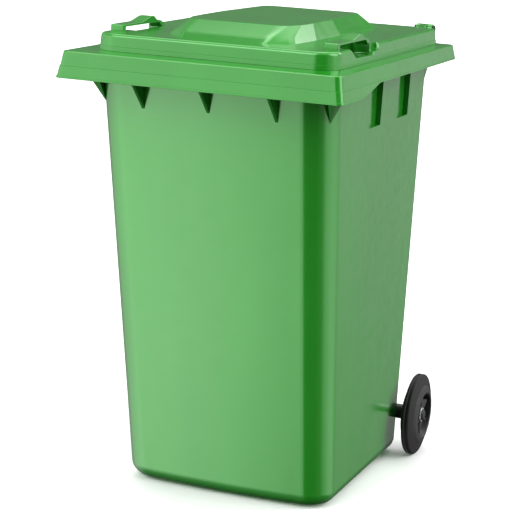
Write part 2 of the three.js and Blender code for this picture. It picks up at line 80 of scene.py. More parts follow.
# The apron's face from its foot up: height, how far it is set in, and its extra step at the front.
APRON_FACE = [
    (956, 1.2, 0), (956.5, 0.31, 0), (957.4, 0, 0), (960.6, 0, 0),
    (961.2, 0, 0.9), (982.4, 0, 0.9), (983, 0, 2),
]
RIM_FACE = (0.2, 0.6)          # the same two values where the rim's rounded edge starts
APRON_FRONT = (16, 90)         # the front step fades out between these depths
FRONT_RIB = {"spacing": 152, "width": 6, "toe": (14, 958), "tip": (78, 896)}
CORNER_RIB = {"x": 285, "y": 88, "width": 40, "length": 100, "tip": (257.75, 112, 902)}
REAR_RIB = {"x": 258, "y": 795, "width": 16, "length": 60, "tip": (252, 764, 890)}
AXLE_BAY = {"half": 205, "front": 750, "top": 134}
BOSS = {"radius": 23, "face": 236, "seat": 18.8}
WEB = {"x": 70, "width": 10, "foot": 60, "cheek": (14, 16, 18), "nose": 20, "sunk": 2, "edge": 8}
POCKET = {"depth": 13, "bottom": 863, "fronts": (342, 546), "width": 82, "proud": 6}
HANDLE = {
    "y": 846, "z": 958, "radius": 14, "half": 186, "recess_half": 178, "recess_front": 800,
    "bracket": 10, "middle_bracket": 12, "bracket_foot": 900, "nose": 12, "bracket_ease": 2,
}
HINGE = {
    "y": 848, "z": 1042, "radius": 14, "lug_bore": 7.4, "knuckle_bore": 7.6, "pin": 7, "gap": 0.4,
    "inner_lug": 213, "knuckle": (222, 239.6), "outer_lug": 252,
    "lug_front": 824, "lug_back": 843, "lug_waist": 4,
    "arm_foot": 12, "arm_setback": 6, "arm_drop": 0.5,
    "pin_past_lug": 4, "pin_edge": 0.8, "head": 11, "head_depth": 4, "head_edge": 1.2,
    "cap": 10.5, "cap_depth": 6,
}
LID = {
    "half": 275, "front": 69, "back": 822, "height": 36.5, "skin": 3.5,
    "front_radius": 50, "back_radius": 22, "draft": 0.07, "edge": 8,
    "lip": 9.5, "lip_rise": 0.6, "lip_step": 1,
}
LID_BOTTOM = RIM["top"] + GAP
LID_TOP = LID_BOTTOM + LID["height"]

# The right half of each of the dome's edges, front to back, as (x, depth, height above the lid's top,
# corner radius): its foot, sunk below the top, the crease across its front, and its crown.
DOME_EDGES = [
    [(92, 121, -4, 30), (148, 172, -4, 30), (155, 290, -4, 60),
     (158, 450, -4, 30), (161, 690, -4, 20), (142, 716, -4, 20)],
    [(98, 152, 13.7, 30), (137, 190, 12, 40), (148, 300, 8, 60),
     (152, 450, 2, 30), (157, 688, 2, 20), (140, 711, 2, 20)],
    [(112, 212, 33.5, 50), (127, 262, 33.5, 60), (130, 330, 33.5, 60),
     (131, 450, 33.5, 30), (119, 668, 33.5, 20), (106, 684, 33.5, 20)],
]
# The slope rounds over into the crown after these shares of the way up; its last ring is lowered,
# and the flat top is a little smaller than the crown.
DOME = {
    "ease": (0.95, 0.985), "ease_drop": 0.25, "top_share": (0.985, 0.992, 1), "middle": 445,
    "front_part": 300,             # a skin's thickness moves the corners before this depth backwards
}

# Side outlines of the finger recess and the notch behind it (depth, height above the lid's foot,
# corner radius), and of the grip above them (the same, with heights above the lid's top).
DISH = {"inner": 222, "notch_inner": 262}
DISH_OUTLINE = [
    (166, 47, 0), (178, 35, 12), (208, 15.5, 16), (300, 13.7, 20), (327, 13.2, 4), (329, 47, 0),
]
NOTCH_OUTLINE = [
    (300, 47, 0), (300, 13.7, 0), (329, 13.2, 6), (336, 19, 6), (364, 23, 8), (371, 47, 0),
]
GRIP = {"inner": 229, "outer": 259}
GRIP_OUTLINE = [
    (141, -3, 0), (141, 9.6, 1.5), (312, 8.8, 8), (328, -3, 0), (342, -3, 0),
    (342, 3, 2), (326, 11.5, 6), (300, 15.5, 5), (286, 24, 6), (270, 24.4, 10),
    (223, 14.7, 20), (127, 14.5, 3), (127, -3, 0),
]

WHEEL = {"centre": 296, "hub_inner": 274.5, "hub_outer": 310, "segments": 96}
WHEEL_RIB = {"count": 6, "depth": 26, "width": 5, "reach": (18, 51)}
# Half sections of the wheel centre and of the outer half of its tyre: distance from the wheel's
# middle, radius, corner radius.
WHEEL_OUTLINE = [
    (-21.5, 10.4, 0), (14, 10.4, 0), (14, 19, 1.5), (5, 22, 3), (4, 49, 4),
    (20, 53.5, 2), (22, 56, 3), (20, 66, 10), (15.7, 74, 0), (-15.7, 74, 0), (-20, 66, 10),
    (-21, 56, 3), (-19, 53, 2), (-4, 49, 4), (-5, 22, 3), (-21.5, 19, 1.5),
]
TYRE_SIDE = [
    (16, 74.3, 0), (15.5, 77, 1), (11.5, 90, 6), (9, 97.5, 2), (6.5, 100, 2), (3, 100, 1), (2.2, 95, 1),
]
SPACER = {"radius": 18, "edge": 0.5}
WASHER = {"radius": 17, "edge": 0.3, "thickness": 1.6}
# The outside of the axle cap: distance from its flange's face, radius, corner radius.
AXLE_CAP_OUTLINE = [
    (6.2, NEAR_AXIS, 0), (5.8, 7, 4), (3.8, 11.5, 3), (2, 12.5, 1), (1, 14.5, 0.5), (0, 14.5, 0.3),
]


def at(x, y, z):
    return Vector((x * MM, (y - PLAN_CENTRE) * MM, z * MM))


# ---- meshes ------------------------------------------------------------------------------------
def smoothstep(low, high, value):
    t = min(max((value - low) / (high - low), 0), 1)
    return t * t * (3 - 2 * t)


def mesh_object(name, points, faces):
    mesh = bpy.data.meshes.new(name)
    mesh.from_pydata([at(*p) for p in points], [], faces)
    obj = bpy.data.objects.new(name, mesh)
    bpy.context.scene.collection.objects.link(obj)
    return obj


def loft(name, rings):
    """A closed skin over a stack of rings of equal count, each counterclockwise from above."""
    count = len(rings[0])
    points = [p for ring in rings for p in ring]
    faces = []
    for level in range(len(rings) - 1):
        for i in range(count):
            a = level * count + i
            b = level * count + (i + 1) % count
            faces.append((a, b, b + count, a + count))
    last = (len(rings) - 1) * count
    faces.append(tuple(reversed(range(count))))
    faces.append(tuple(range(last, last + count)))
    return mesh_object(name, points, faces)


def rounded_plan(
    half, front, back, front_radius, back_radius, z, bow=0, arc=ARC_STEPS, front_steps=16,
):
    """A plan ring: a rectangle about X = 0 with rounded corners and a front side bowed forwards."""
    ring = []

    def corner(x, y, radius, start):
        for i in range(arc + 1):
            angle = start + math.pi / 2 * i / arc
            ring.append((x + radius * math.cos(angle), y + radius * math.sin(angle), z))

    flat = half - front_radius
    corner(half - back_radius, back - back_radius, back_radius, 0)
    corner(-half + back_radius, back - back_radius, back_radius, math.pi / 2)
    corner(-flat, front + front_radius, front_radius, math.pi)
    for i in range(1, front_steps):
        x = -flat + 2 * flat * i / front_steps
        ring.append((x, front - bow * (1 - (x / flat) ** 2), z))
    corner(flat, front + front_radius, front_radius, math.pi * 1.5)
    return ring


LONGEST_ROUNDING = 0.49        # of the shorter edge at a rounded corner


def fillet(corners, steps=5):
    """A closed outline from (coordinates..., radius) corners, each rounded over about its radius."""
    outline = []
    count = len(corners)
    for i, (*place, radius) in enumerate(corners):
        here = np.array(place, float)
        before = np.array(corners[i - 1][:-1], float) - here
        after = np.array(corners[(i + 1) % count][:-1], float) - here
        if radius == 0:
            outline.append(tuple(here))
            continue
        before_length, after_length = np.linalg.norm(before), np.linalg.norm(after)
        before, after = before / before_length, after / after_length
        half_angle = math.acos(np.clip(before @ after, -1, 1)) / 2
        longest = LONGEST_ROUNDING * min(before_length, after_length)
        reach = min(radius / math.tan(half_angle), longest)
        start, end = here + before * reach, here + after * reach
        for k in range(steps + 1):
            t = k / steps
            point = (1 - t) ** 2 * start + 2 * t * (1 - t) * here + t * t * end
            outline.append(tuple(point))
    return outline


def side_plate(name, outline, x0, x1, edge=0):
    """A (depth, height) outline extruded along X, its two end rims rounded by `edge`."""
    near = [(x0, y, z) for y, z in outline]
    far = [(x1, y, z) for y, z in outline]
    count = len(outline)
    faces = [(i, (i + 1) % count, (i + 1) % count + count, i + count) for i in range(count)]
    faces.append(tuple(reversed(range(count))))
    faces.append(tuple(range(count, 2 * count)))
    plate = mesh_object(name, near + far, faces)
    face_outwards(plate)
    if edge:
        round_end_faces(plate, edge)
    return plate


def face_outwards(obj):
    bm = bmesh.new()
    bm.from_mesh(obj.data)
    bmesh.ops.recalc_face_normals(bm, faces=bm.faces)
    bm.to_mesh(obj.data)
    bm.free()


def round_end_faces(obj, edge):
    bm = bmesh.new()
    bm.from_mesh(obj.data)
    ends = [f for f in bm.faces if abs(f.normal.x) > 0.99]
    edges = list({e for f in ends for e in f.edges})
    bmesh.ops.bevel(bm, geom=edges, offset=edge * MM, segments=3, profile=0.5, affect="EDGES")
    bm.to_mesh(obj.data)
    bm.free()


def block(name, low, high):
    (x0, y0, z0), (x1, y1, z1) = low, high
    corners = [(x0, y0), (x1, y0), (x1, y1), (x0, y1)]
    return loft(name, [[(x, y, z) for x, y in corners] for z in (z0, z1)])


def turned(name, profile, y=AXLE_DEPTH, z=AXLE_HEIGHT, segments=72):
    """A solid turned about the line along X at (y, z), from a closed (x, radius) profile."""
    points, faces = [], []
    columns = len(profile)
    for s in range(segments):
        angle = 2 * math.pi * s / segments
        for x, radius in profile:
            points.append((x, y + radius * math.cos(angle), z + radius * math.sin(angle)))
    for s in range(segments):
        following = (s + 1) % segments
        for i in range(columns):
            j = (i + 1) % columns
            near, far = s * columns, following * columns
            faces.append((near + i, near + j, far + j, far + i))
    obj = mesh_object(name, points, faces)
    bm = bmesh.new()
    bm.from_mesh(obj.data)
    bmesh.ops.remove_doubles(bm, verts=bm.verts, dist=1e-7)
    bmesh.ops.dissolve_degenerate(bm, edges=bm.edges, dist=1e-8)
    bmesh.ops.recalc_face_normals(bm, faces=bm.faces)
    bm.to_mesh(obj.data)
    bm.free()
    return obj


def bar(name, x0, x1, y, z, radius, edge=1.0, segments=40):
    """A round bar along X with rounded ends.

    Known fault: the far end's points run backwards, so the bar narrows by `edge` towards +X and the
    end folds into itself.
    """
    quarter = [math.pi / 2 * k / 3 for k in range(4)]

    def rounding(angle):
        return edge * (1 - math.sin(angle)), edge * (1 - math.cos(angle))

    start = sorted((x0 + in_x, radius - in_radius) for in_x, in_radius in map(rounding, quarter))
    end = [(x1 - in_x, radius - in_radius) for in_radius, in_x in map(rounding, quarter)]
    return turned(name, [(x0, 0), *start, *end, (x1, 0)], y, z, segments)


def side_span(side, a, b):
    """The stretch of X between distances a and b from the middle, on the given side."""
    return sorted((side * a, side * b))


def combine(target, operation, tools):
    """target joined with, or cut by, each tool; the tools are used up."""
    for tool in tools:
        modifier = target.modifiers.new("combine", "BOOLEAN")
        modifier.operation = operation
        modifier.solver = "MANIFOLD"
        modifier.object = tool
    depsgraph = bpy.context.evaluated_depsgraph_get()
    depsgraph.update()
    result = bpy.data.meshes.new_from_object(target.evaluated_get(depsgraph))
    result.name = target.name
    target.modifiers.clear()
    target.data = result
    for tool in tools:
        bpy.data.objects.remove(tool)
    return target


def join(target, *tools):
    return combine(target, "UNION", tools)


def cut(target, *tools):
    return combine(target, "DIFFERENCE", tools)


def finish_surface(obj):
    """Smooth shading that keeps real edges crisp and flat walls flat."""
    mesh = obj.data
    mesh.materials.clear()
    mesh.shade_smooth()
    mesh.set_sharp_from_angle(angle=math.radians(SHARP_ANGLE))
    weighted = obj.modifiers.new("normals", "WEIGHTED_NORMAL")
    weighted.mode = "FACE_AREA_WITH_ANGLE"
    weighted.weight = 50
    weighted.keep_sharp = True


# ---- tub ---------------------------------------------------------------------------------------
def tub_ring(z, inset):
    rise = min(z / TUB["rim_z"], 1)

    def value(name):
        base, rim = TUB[name]
        return base + (rim - base) * rise

    mouth = smoothstep(TUB["rim_z"], TUB["mouth_z"], z)
    return rounded_plan(
        value("half") - inset, value("front") + inset, value("back") - inset,
        value("front_radius") - inset / 2, value("back_radius") - inset / 2, z,
        bow=TUB["bow"] + (TUB["mouth_bow"] - TUB["bow"]) * mouth,
    )


def tub_form(name, bottom, top, skin):
    """The tub's outer form, or with `skin` its hollow. The base edge is a quarter round."""
    radius = TUB["base_edge"] - skin
    steps = 10
    rings = []
    for i in range(steps + 1):
        angle = math.pi / 2 * i / steps
        z = bottom + radius * (1 - math.cos(angle))
        rings.append(tub_ring(z, skin + radius * (1 - math.sin(angle))))
    wall_foot = bottom + radius
    levels = 10
    for i in range(1, levels + 1):
        rings.append(tub_ring(wall_foot + (TUB["rim_z"] - wall_foot) * i / levels, skin))
    for z in (TUB["mouth_middle"], TUB["mouth_z"], top):
        rings.append(tub_ring(z, skin))
    return loft(name, rings)


def rim_ring(z, inset, front_step=0):
    """A plan ring of the rim or its apron; front_step moves it inwards at the front only."""
    corner = RIM["corner"]
    ring = rounded_plan(
        RIM["half"] - inset, inset, RIM["depth"] - inset, corner, corner, z, arc=8, front_steps=2)
    moved = []
    for x, y, height in ring:
        step = front_step * (1 - smoothstep(*APRON_FRONT, y))
        sideways = math.copysign(step, x) if abs(x) > TUB["half"][0] else 0
        moved.append((x - sideways, y + step, height))
    return moved


def rim_and_apron():
    top, bottom = RIM["top"], APRON["bottom"]

    def spread(z):
        return -(top - z) * APRON["draft"]

    rings = [rim_ring(z, spread(z) + inset, front_step) for z, inset, front_step in APRON_FACE]
    edge = RIM["edge"]
    inset, front_step = RIM_FACE
    edge_steps = 5
    for i in range(edge_steps + 1):
        angle = math.pi / 2 * i / edge_steps
        rings.append(rim_ring(
            top - edge * (1 - math.sin(angle)),
            inset + edge * (1 - math.cos(angle)),
            front_step * (1 - i / edge_steps)))
    outer = loft("rim", rings)
    under = top - WALL
    inner = loft("rim_inner", [
        rim_ring(bottom - PAST, spread(bottom - PAST) + APRON["wall"]),
        rim_ring(under, spread(under) + APRON["wall"]),
    ])
    wide = RIM["half"] + 2 * PAST
    behind = RIM["depth"] + 2 * PAST
    step = side_plate("apron_step", fillet([
        (APRON_STEP[0][0], bottom - PAST, 0), *APRON_STEP,
        (behind, APRON["side_bottom"], 0), (behind, bottom - PAST, 0),
    ]), -wide, wide)
    return cut(outer, inner, step)


def spike(name, side, form):
    """A rib that narrows from the underside of the rim to a point on the wall."""
    def rectangle(cx, cy, half_x, half_y, z):
        corners = [(-half_x, -half_y), (half_x, -half_y), (half_x, half_y), (-half_x, half_y)]
        return [(side * cx + dx, cy + dy, z) for dx, dy in corners]

    tip_x, tip_y, tip_z = form["tip"]
    return loft(name, [
        rectangle(tip_x, tip_y, 1, 1, tip_z),
        rectangle(form["x"], form["y"], form["width"] / 2, form["length"] / 2, RIM["top"] - WALL / 2),
    ])


def rim_ribs():
    top = RIM["top"] - WALL / 2
    plate = [(APRON["wall"] / 2, top), FRONT_RIB["toe"], FRONT_RIB["tip"], (TUB["front"][1], top)]
    half = FRONT_RIB["width"] / 2
    middles = [step * FRONT_RIB["spacing"] for step in (-1, 0, 1)]
    ribs = [side_plate("rib", plate, x - half, x + half) for x in middles]
    for side in SIDES:
        ribs += [spike("gusset", side, CORNER_RIB), spike("gusset", side, REAR_RIB)]
    return ribs


def pocket_tools(grow):
    """The pockets in the side walls; with `grow` the larger blocks that leave their walls standing."""
    wall = TUB["half"][1]
    top = RIM["top"] - WALL + grow / 10
    tools = []
    for side in SIDES:
        low, high = side_span(side, wall - POCKET["depth"] - grow, wall + POCKET["proud"])
        for front in POCKET["fronts"]:
            tools.append(block(
                "pocket",
                (low, front - grow, POCKET["bottom"] - grow),
                (high, front + POCKET["width"] + grow, top)))
    return tools


def rear_handle():
    """A round bar on three brackets, in a notch of the rear rim."""
    y, z, half = HANDLE["y"], HANDLE["z"], HANDLE["half"]
    grip = bar("grip", -half, half, y, z, HANDLE["radius"], 3)
    wall = TUB["back"][1] - WALL / 2
    nose = HANDLE["nose"]
    nose_half = HANDLE["radius"] - HANDLE["bracket_ease"]
    outline = fillet([
        (wall, HANDLE["bracket_foot"], 0),
        (y + nose / 2, z - nose_half, 6), (y + nose, z, 6), (y + nose / 2, z + nose_half, 6),
        (HANDLE["recess_front"], RIM["top"] - WALL, 4), (wall, RIM["top"] - WALL / 2, 0),
    ])
    outer, middle = HANDLE["bracket"], HANDLE["middle_bracket"]
    brackets = [
        side_plate("bracket", outline, x0, x0 + width, 1.5)
        for x0, width in ((-half, outer), (-middle / 2, middle), (half - outer, outer))
    ]
    return [grip, *brackets]


def hinge_arc(start, end, steps):
    """Points round the hinge axis between two angles measured from straight back, upwards."""
    angles = [start + (end - start) * i / steps for i in range(steps + 1)]
    radius = HINGE["radius"]
    return [(HINGE["y"] + radius * math.cos(a), HINGE["z"] + radius * math.sin(a)) for a in angles]


def hinge_lugs():
    under = RIM["top"] - WALL
    waist = (HINGE["y"] + HINGE["radius"], HINGE["z"] - HINGE["lug_waist"])
    foot = [(HINGE["lug_front"], under), (HINGE["lug_back"], under)]
    outline = [*foot, waist, *hinge_arc(0, math.pi, 16)]
    near, far = HINGE["knuckle"]
    spans = ((HINGE["inner_lug"], near - HINGE["gap"]), (far + HINGE["gap"], HINGE["outer_lug"]))
    return [side_plate("lug", outline, *side_span(side, a, b), 1) for side in SIDES for a, b in spans]


def axle_bay(half, skin):
    return block(
        "axle_bay",
        (-half, AXLE_BAY["front"] - skin, -PAST),
        (half, TUB["back"][0] + PAST, AXLE_BAY["top"] + skin))


def axle_bar(name, x0, x1, radius, edge):
    """A round bar along the axle's line."""
    return bar(name, x0, x1, AXLE_DEPTH, AXLE_HEIGHT, radius, edge)


def hinge_bar(name, side, near, far, radius, edge):
    """A round bar along the hinge's line, between two distances from the middle."""
    return bar(name, *side_span(side, near, far), HINGE["y"], HINGE["z"], radius, edge)


def bearing_webs():
    """Two webs that carry the middle of the axle inside its bay."""
    front = AXLE_BAY["front"] - WEB["sunk"]
    top = AXLE_BAY["top"] + WEB["sunk"]
    cheek, below, above = WEB["cheek"]
    edge = WEB["edge"]
    outline = fillet([
        (front, WEB["foot"], 0),
        (AXLE_DEPTH + cheek, AXLE_HEIGHT - below, edge),
        (AXLE_DEPTH + WEB["nose"], AXLE_HEIGHT, edge),
        (AXLE_DEPTH + cheek, AXLE_HEIGHT + above, edge),
        (AXLE_DEPTH, top, 0),
        (front, top, 0),
    ])
    half = WEB["width"] / 2
    middles = [side * WEB["x"] for side in SIDES]
    return [side_plate("web", outline, x - half, x + half) for x in middles]


def bin_moulding():
    outer = tub_form("bin_moulding", 0, RIM["top"] - WALL / 2, 0)
    foot_recess = block(
        "foot",
        (-FLOOR["foot_half"], FLOOR["foot_front"], -PAST),
        (FLOOR["foot_half"], FLOOR["foot_back"], FLOOR["underside"]))
    rear_rise = block(
        "rise",
        (-RIM["half"], FLOOR["rear_rise"], -PAST),
        (RIM["half"], TUB["back"][0] + PAST, FLOOR["underside"]))
    cut(outer, axle_bay(AXLE_BAY["half"], 0), foot_recess, rear_rise)

    rim = rim_and_apron()
    join(rim, *rim_ribs(), *hinge_lugs())
    cut(rim, block(
        "notch", (-HANDLE["recess_half"], HANDLE["recess_front"], APRON["side_bottom"] - PAST),
        (HANDLE["recess_half"], RIM["depth"] + PAST, RIM["top"] + PAST)))

    face, hub = BOSS["face"], WHEEL["hub_inner"]
    spans = [side_span(side, AXLE_BAY["half"], face) for side in SIDES]
    bosses = [axle_bar("boss", *span, BOSS["radius"], 1) for span in spans]
    join(outer, rim, *rear_handle(), *bosses, *bearing_webs())

    hollow = tub_form("hollow", FLOOR["underside"] + WALL, RIM["top"] + PAST, WALL)
    cut(hollow, axle_bay(TUB["half"][0] + 10 * WALL, WALL), *pocket_tools(WALL))
    tools = [hollow, axle_bar("bore", -hub, hub, AXLE["bore"], CRISP)]
    inner, outermost = HINGE["inner_lug"] - PAST, HINGE["outer_lug"] + PAST
    for side in SIDES:
        tools.append(axle_bar("seat", *side_span(side, face, hub), BOSS["seat"], CRISP))
        tools.append(hinge_bar("hinge_bore", side, inner, outermost, HINGE["lug_bore"], CRISP))
    cut(outer, *tools, *pocket_tools(0))
    return outer


# ---- lid ---------------------------------------------------------------------------------------
def lid_ring(z, inset):
    return rounded_plan(
        LID["half"] - inset, LID["front"] + inset, LID["back"] - inset,
        LID["front_radius"] - inset, LID["back_radius"] - inset / 2, z, front_steps=2)


def lid_tray(name, skin):
    """The lid's tray: a lip round its foot and a rounded top edge. With `skin`, its hollow."""
    bottom = LID_BOTTOM - PAST if skin else LID_BOTTOM
    edge = LID["edge"]
    shoulder = LID_TOP - edge - skin
    step = 0 if skin else LID["lip_step"]

    def drafted(z):
        return (z - LID_BOTTOM) * LID["draft"] + skin

    rings = [lid_ring(bottom, drafted(bottom))]
    if not skin:
        lip = LID_BOTTOM + LID["lip"]
        rings += [lid_ring(lip, drafted(lip)), lid_ring(lip + LID["lip_rise"], drafted(lip) + step)]
    edge_steps = 6
    for i in range(edge_steps + 1):
        angle = math.pi / 2 * i / edge_steps
        inset = drafted(shoulder) + step + edge * (1 - math.cos(angle))
        rings.append(lid_ring(shoulder + edge * math.sin(angle), inset))
    return loft(name, rings)


def dome_ring(edge, skin):
    """One closed edge of the dome, from its right half; `skin` moves it in and down."""
    right = [
        (x - skin, y + (skin if y < DOME["front_part"] else -skin), LID_TOP + height - skin, radius)
        for x, y, height, radius in edge
    ]
    left = [(-x, y, z, radius) for x, y, z, radius in reversed(right)]
    return np.array(fillet(right + left, 8))


def dome(name, skin):
    foot, crease, crown = (dome_ring(edge, skin) for edge in DOME_EDGES)
    eased = [crease + (crown - crease) * share for share in DOME["ease"]]
    eased[-1][:, 2] -= DOME["ease_drop"]
    middle = np.array((0, DOME["middle"], 0))
    top = (crown - middle) * DOME["top_share"] + middle
    rings = [foot, crease, *eased, top]
    return loft(name, [[tuple(point) for point in ring] for ring in rings])


def dish(side, skin):
    """The finger recess under a grip, with the notch behind it; `skin` leaves its walls standing."""
    def tool(outline, inner):
        middle = (outline[0][0] + outline[-1][0]) / 2
        corners = [
            (y - skin if y < middle else y + skin, LID_BOTTOM + height - skin, radius)
            for y, height, radius in outline
        ]
        span = side_span(side, inner - skin, LID["half"] + PAST)
        return side_plate("dish", fillet(corners), *span)

    return join(tool(DISH_OUTLINE, DISH["inner"]), tool(NOTCH_OUTLINE, DISH["notch_inner"]))


def lid_grip(side):
    """The strap over the recess, with a nub at its back end."""
    corners = [(y, LID_TOP + height, radius) for y, height, radius in GRIP_OUTLINE]
    return side_plate("grip", fillet(corners), *side_span(side, GRIP["inner"], GRIP["outer"]), 1)


def lid_arm(side):
    """A knuckle round the hinge pin, reaching back from the lid's rear wall."""
    wall = LID["back"] - (LID_TOP - LID_BOTTOM) * LID["draft"] - LID["skin"] / 2
    foot = (wall, HINGE["z"] - HINGE["arm_foot"])
    shoulder = (wall - HINGE["arm_setback"], LID_TOP - HINGE["arm_drop"])
    outline = [foot, *hinge_arc(-math.pi / 2, math.pi / 2, 24), shoulder]
    return side_plate("arm", outline, *side_span(side, *HINGE["knuckle"]), 1)


def lid_moulding():
    outer = lid_tray("lid_moulding", 0)
    join(outer, dome("dome", 0))
    cut(outer, *[dish(side, 0) for side in SIDES])
    hollow = lid_tray("lid_hollow", LID["skin"])
    join(hollow, dome("dome_hollow", LID["skin"]))
    cut(hollow, *[dish(side, LID["skin"]) for side in SIDES])
    cut(outer, hollow)
    join(outer, *[lid_grip(side) for side in SIDES], *[lid_arm(side) for side in SIDES])
    reach = LID["half"] + PAST
    cut(outer, bar("bore", -reach, reach, HINGE["y"], HINGE["z"], HINGE["knuckle_bore"], CRISP))
    return outer


# ---- hinge pins and running gear ---------------------------------------------------------------
def hinge_pin(name, side):
    """A pin through both lugs and the lid's arm, with its head on the outer lug."""
    tip = HINGE["inner_lug"] - HINGE["pin_past_lug"]
    lug = HINGE["outer_lug"]
    pin = hinge_bar(name, side, tip, lug + HINGE["head_depth"] / 2, HINGE["pin"], HINGE["pin_edge"])
    head = hinge_bar(
        "head", side, lug + GAP, lug + HINGE["head_depth"], HINGE["head"], HINGE["head_edge"])
    return join(pin, head)


def hinge_pin_cap(name, side):
    """A push-on cap over the pin's tip, inside the inner lug."""
    lug = HINGE["inner_lug"]
    tip = lug - HINGE["pin_past_lug"]
    cap = hinge_bar(name, side, lug - HINGE["cap_depth"], lug - GAP, HINGE["cap"], HINGE["head_edge"])
    return cut(cap, hinge_bar("socket", side, tip - GAP, lug, HINGE["lug_bore"], CRISP))


def tyre(name, side):
    centre = side * WHEEL["centre"]
    far_side = [(-x, radius, edge) for x, radius, edge in reversed(TYRE_SIDE)]
    outline = [(centre + x, radius, edge) for x, radius, edge in TYRE_SIDE + far_side]
    return turned(name, fillet(outline), segments=WHEEL["segments"])


def wheel_rim(name, side):
    """A turned wheel centre with a hub, a thin disc and a tyre seat, and ribs across the disc."""
    centre = side * WHEEL["centre"]
    outline = [(centre + side * x, radius, edge) for x, radius, edge in WHEEL_OUTLINE]
    disc = turned(name, fillet(outline), segments=WHEEL["segments"])
    face_outwards(disc)
    half_depth, half_width = WHEEL_RIB["depth"] / 2, WHEEL_RIB["width"] / 2
    low, high = WHEEL_RIB["reach"]
    ribs = []
    for i in range(WHEEL_RIB["count"]):
        rib = block(
            "rib", (centre - half_depth, -half_width, low), (centre + half_depth, half_width, high))
        turn = Matrix.Rotation(2 * math.pi * i / WHEEL_RIB["count"], 4, "X")
        axle = Matrix.Translation(at(0, AXLE_DEPTH, AXLE_HEIGHT))
        rib.data.transform(axle @ turn @ Matrix.Translation(-at(0, 0, 0)))
        ribs.append(rib)
    return join(disc, *ribs)


def sleeve(name, side, near, far, ring):
    """A ring on the axle between two distances from the middle."""
    x0, x1 = side_span(side, near, far)
    bore, radius, edge = AXLE["bore"], ring["radius"], ring["edge"]
    outline = [(x0, bore, 0), (x1, bore, 0), (x1, radius, edge), (x0, radius, edge)]
    return turned(name, fillet(outline, 3))


def axle_cap(name, side):
    """A push-on cap: a cup over the axle's end with a flange towards the wheel."""
    flange = WHEEL["hub_outer"] + WASHER["thickness"] + 2 * GAP
    end = AXLE["half"] + GAP
    inside = [(flange, AXLE["bore"], 0), (end, AXLE["bore"], 0), (end, NEAR_AXIS, 0)]
    outside = [(flange + x, radius, edge) for x, radius, edge in AXLE_CAP_OUTLINE]
    return turned(name, fillet([(side * x, radius, edge) for x, radius, edge in inside + outside], 4))


# ---- materials ---------------------------------------------------------------------------------
def new_material(name):
    material = bpy.data.materials.new(name)
    material.use_nodes = True
    tree = material.node_tree
    return material, tree.nodes, tree.links, tree.nodes["Principled BSDF"]


def add_noise(nodes, links, vector, scale, detail=3, roughness=0.5):
    noise = nodes.new("ShaderNodeTexNoise")
    noise.inputs["Scale"].default_value = scale
    noise.inputs["Detail"].default_value = detail
    noise.inputs["Roughness"].default_value = roughness
    links.new(vector, noise.inputs["Vector"])
    return noise.outputs["Fac"]


def add_ramp(nodes, links, source, stops):
    ramp = nodes.new("ShaderNodeValToRGB")
    elements = ramp.color_ramp.elements
    while len(elements) < len(stops):
        elements.new(0.5)
    for element, (position, colour) in zip(elements, stops):
        element.position = position
        element.color = (*colour, 1)
    links.new(source, ramp.inputs["Fac"])
    return ramp.outputs["Color"]


def add_range(nodes, links, source, low, high, to_low, to_high):
    remap = nodes.new("ShaderNodeMapRange")
    limits = {"From Min": low, "From Max": high, "To Min": to_low, "To Max": to_high}
    for socket, value in limits.items():
        remap.inputs[socket].default_value = value
    links.new(source, remap.inputs["Value"])
    return remap.outputs["Result"]


def add_bump(nodes, links, height, strength, distance, normal=None):
    bump = nodes.new("ShaderNodeBump")
    bump.inputs["Strength"].default_value = strength
    bump.inputs["Distance"].default_value = distance
    links.new(height, bump.inputs["Height"])
    if normal is not None:
        links.new(normal, bump.inputs["Normal"])
    return bump.outputs["Normal"]


def plastic(name, shades, roughness, grain, specular, tint=(1, 1, 1)):
    """Moulded plastic: faint flow mottling in its colour, scuffs in its gloss, orange peel in its skin."""
    material, nodes, links, shader = new_material(name)
    shader.inputs["Specular IOR Level"].default_value = specular
    shader.inputs["Specular Tint"].default_value = (*tint, 1)
    place = nodes.new("ShaderNodeTexCoord").outputs["Object"]
    stretch = nodes.new("ShaderNodeMapping")
    stretch.inputs["Scale"].default_value = FLOW_STRETCH
    links.new(place, stretch.inputs["Vector"])
    flow = add_noise(nodes, links, stretch.outputs["Vector"], scale=5, detail=4)
    colour = add_ramp(nodes, links, flow, list(zip(FLOW_STOPS, shades)))
    links.new(colour, shader.inputs["Base Color"])
    scuff = add_noise(nodes, links, place, scale=34, detail=6, roughness=0.65)
    gloss = add_range(nodes, links, scuff, 0.35, 0.7, roughness - 0.04, roughness + 0.05)
    links.new(gloss, shader.inputs["Roughness"])
    peel = add_noise(nodes, links, place, scale=900, detail=2)
    wave = add_noise(nodes, links, place, scale=7, detail=2)
    waved = add_bump(nodes, links, wave, strength=0.05, distance=0.004)
    peeled = add_bump(nodes, links, peel, strength=grain, distance=0.0002, normal=waved)
    links.new(peeled, shader.inputs["Normal"])
    return material


def zinc_plate(name):
    """Zinc plating: a faint spangle in its colour and wear in its gloss."""
    material, nodes, links, shader = new_material(name)
    place = nodes.new("ShaderNodeTexCoord").outputs["Object"]
    spangle = nodes.new("ShaderNodeTexVoronoi")
    spangle.inputs["Scale"].default_value = 160
    links.new(place, spangle.inputs["Vector"])
    tone = add_range(nodes, links, spangle.outputs["Distance"], 0, 0.8, 0.5, 0.8)
    colour = add_ramp(nodes, links, tone, list(zip((0.4, 0.9), ZINC_SHADES)))
    links.new(colour, shader.inputs["Base Color"])
    shader.inputs["Metallic"].default_value = 1
    wear = add_noise(nodes, links, place, scale=60, detail=5)
    links.new(add_range(nodes, links, wear, 0.3, 0.7, 0.28, 0.5), shader.inputs["Roughness"])
    worn = add_bump(nodes, links, wear, strength=0.2, distance=0.0003)
    links.new(worn, shader.inputs["Normal"])
    return material


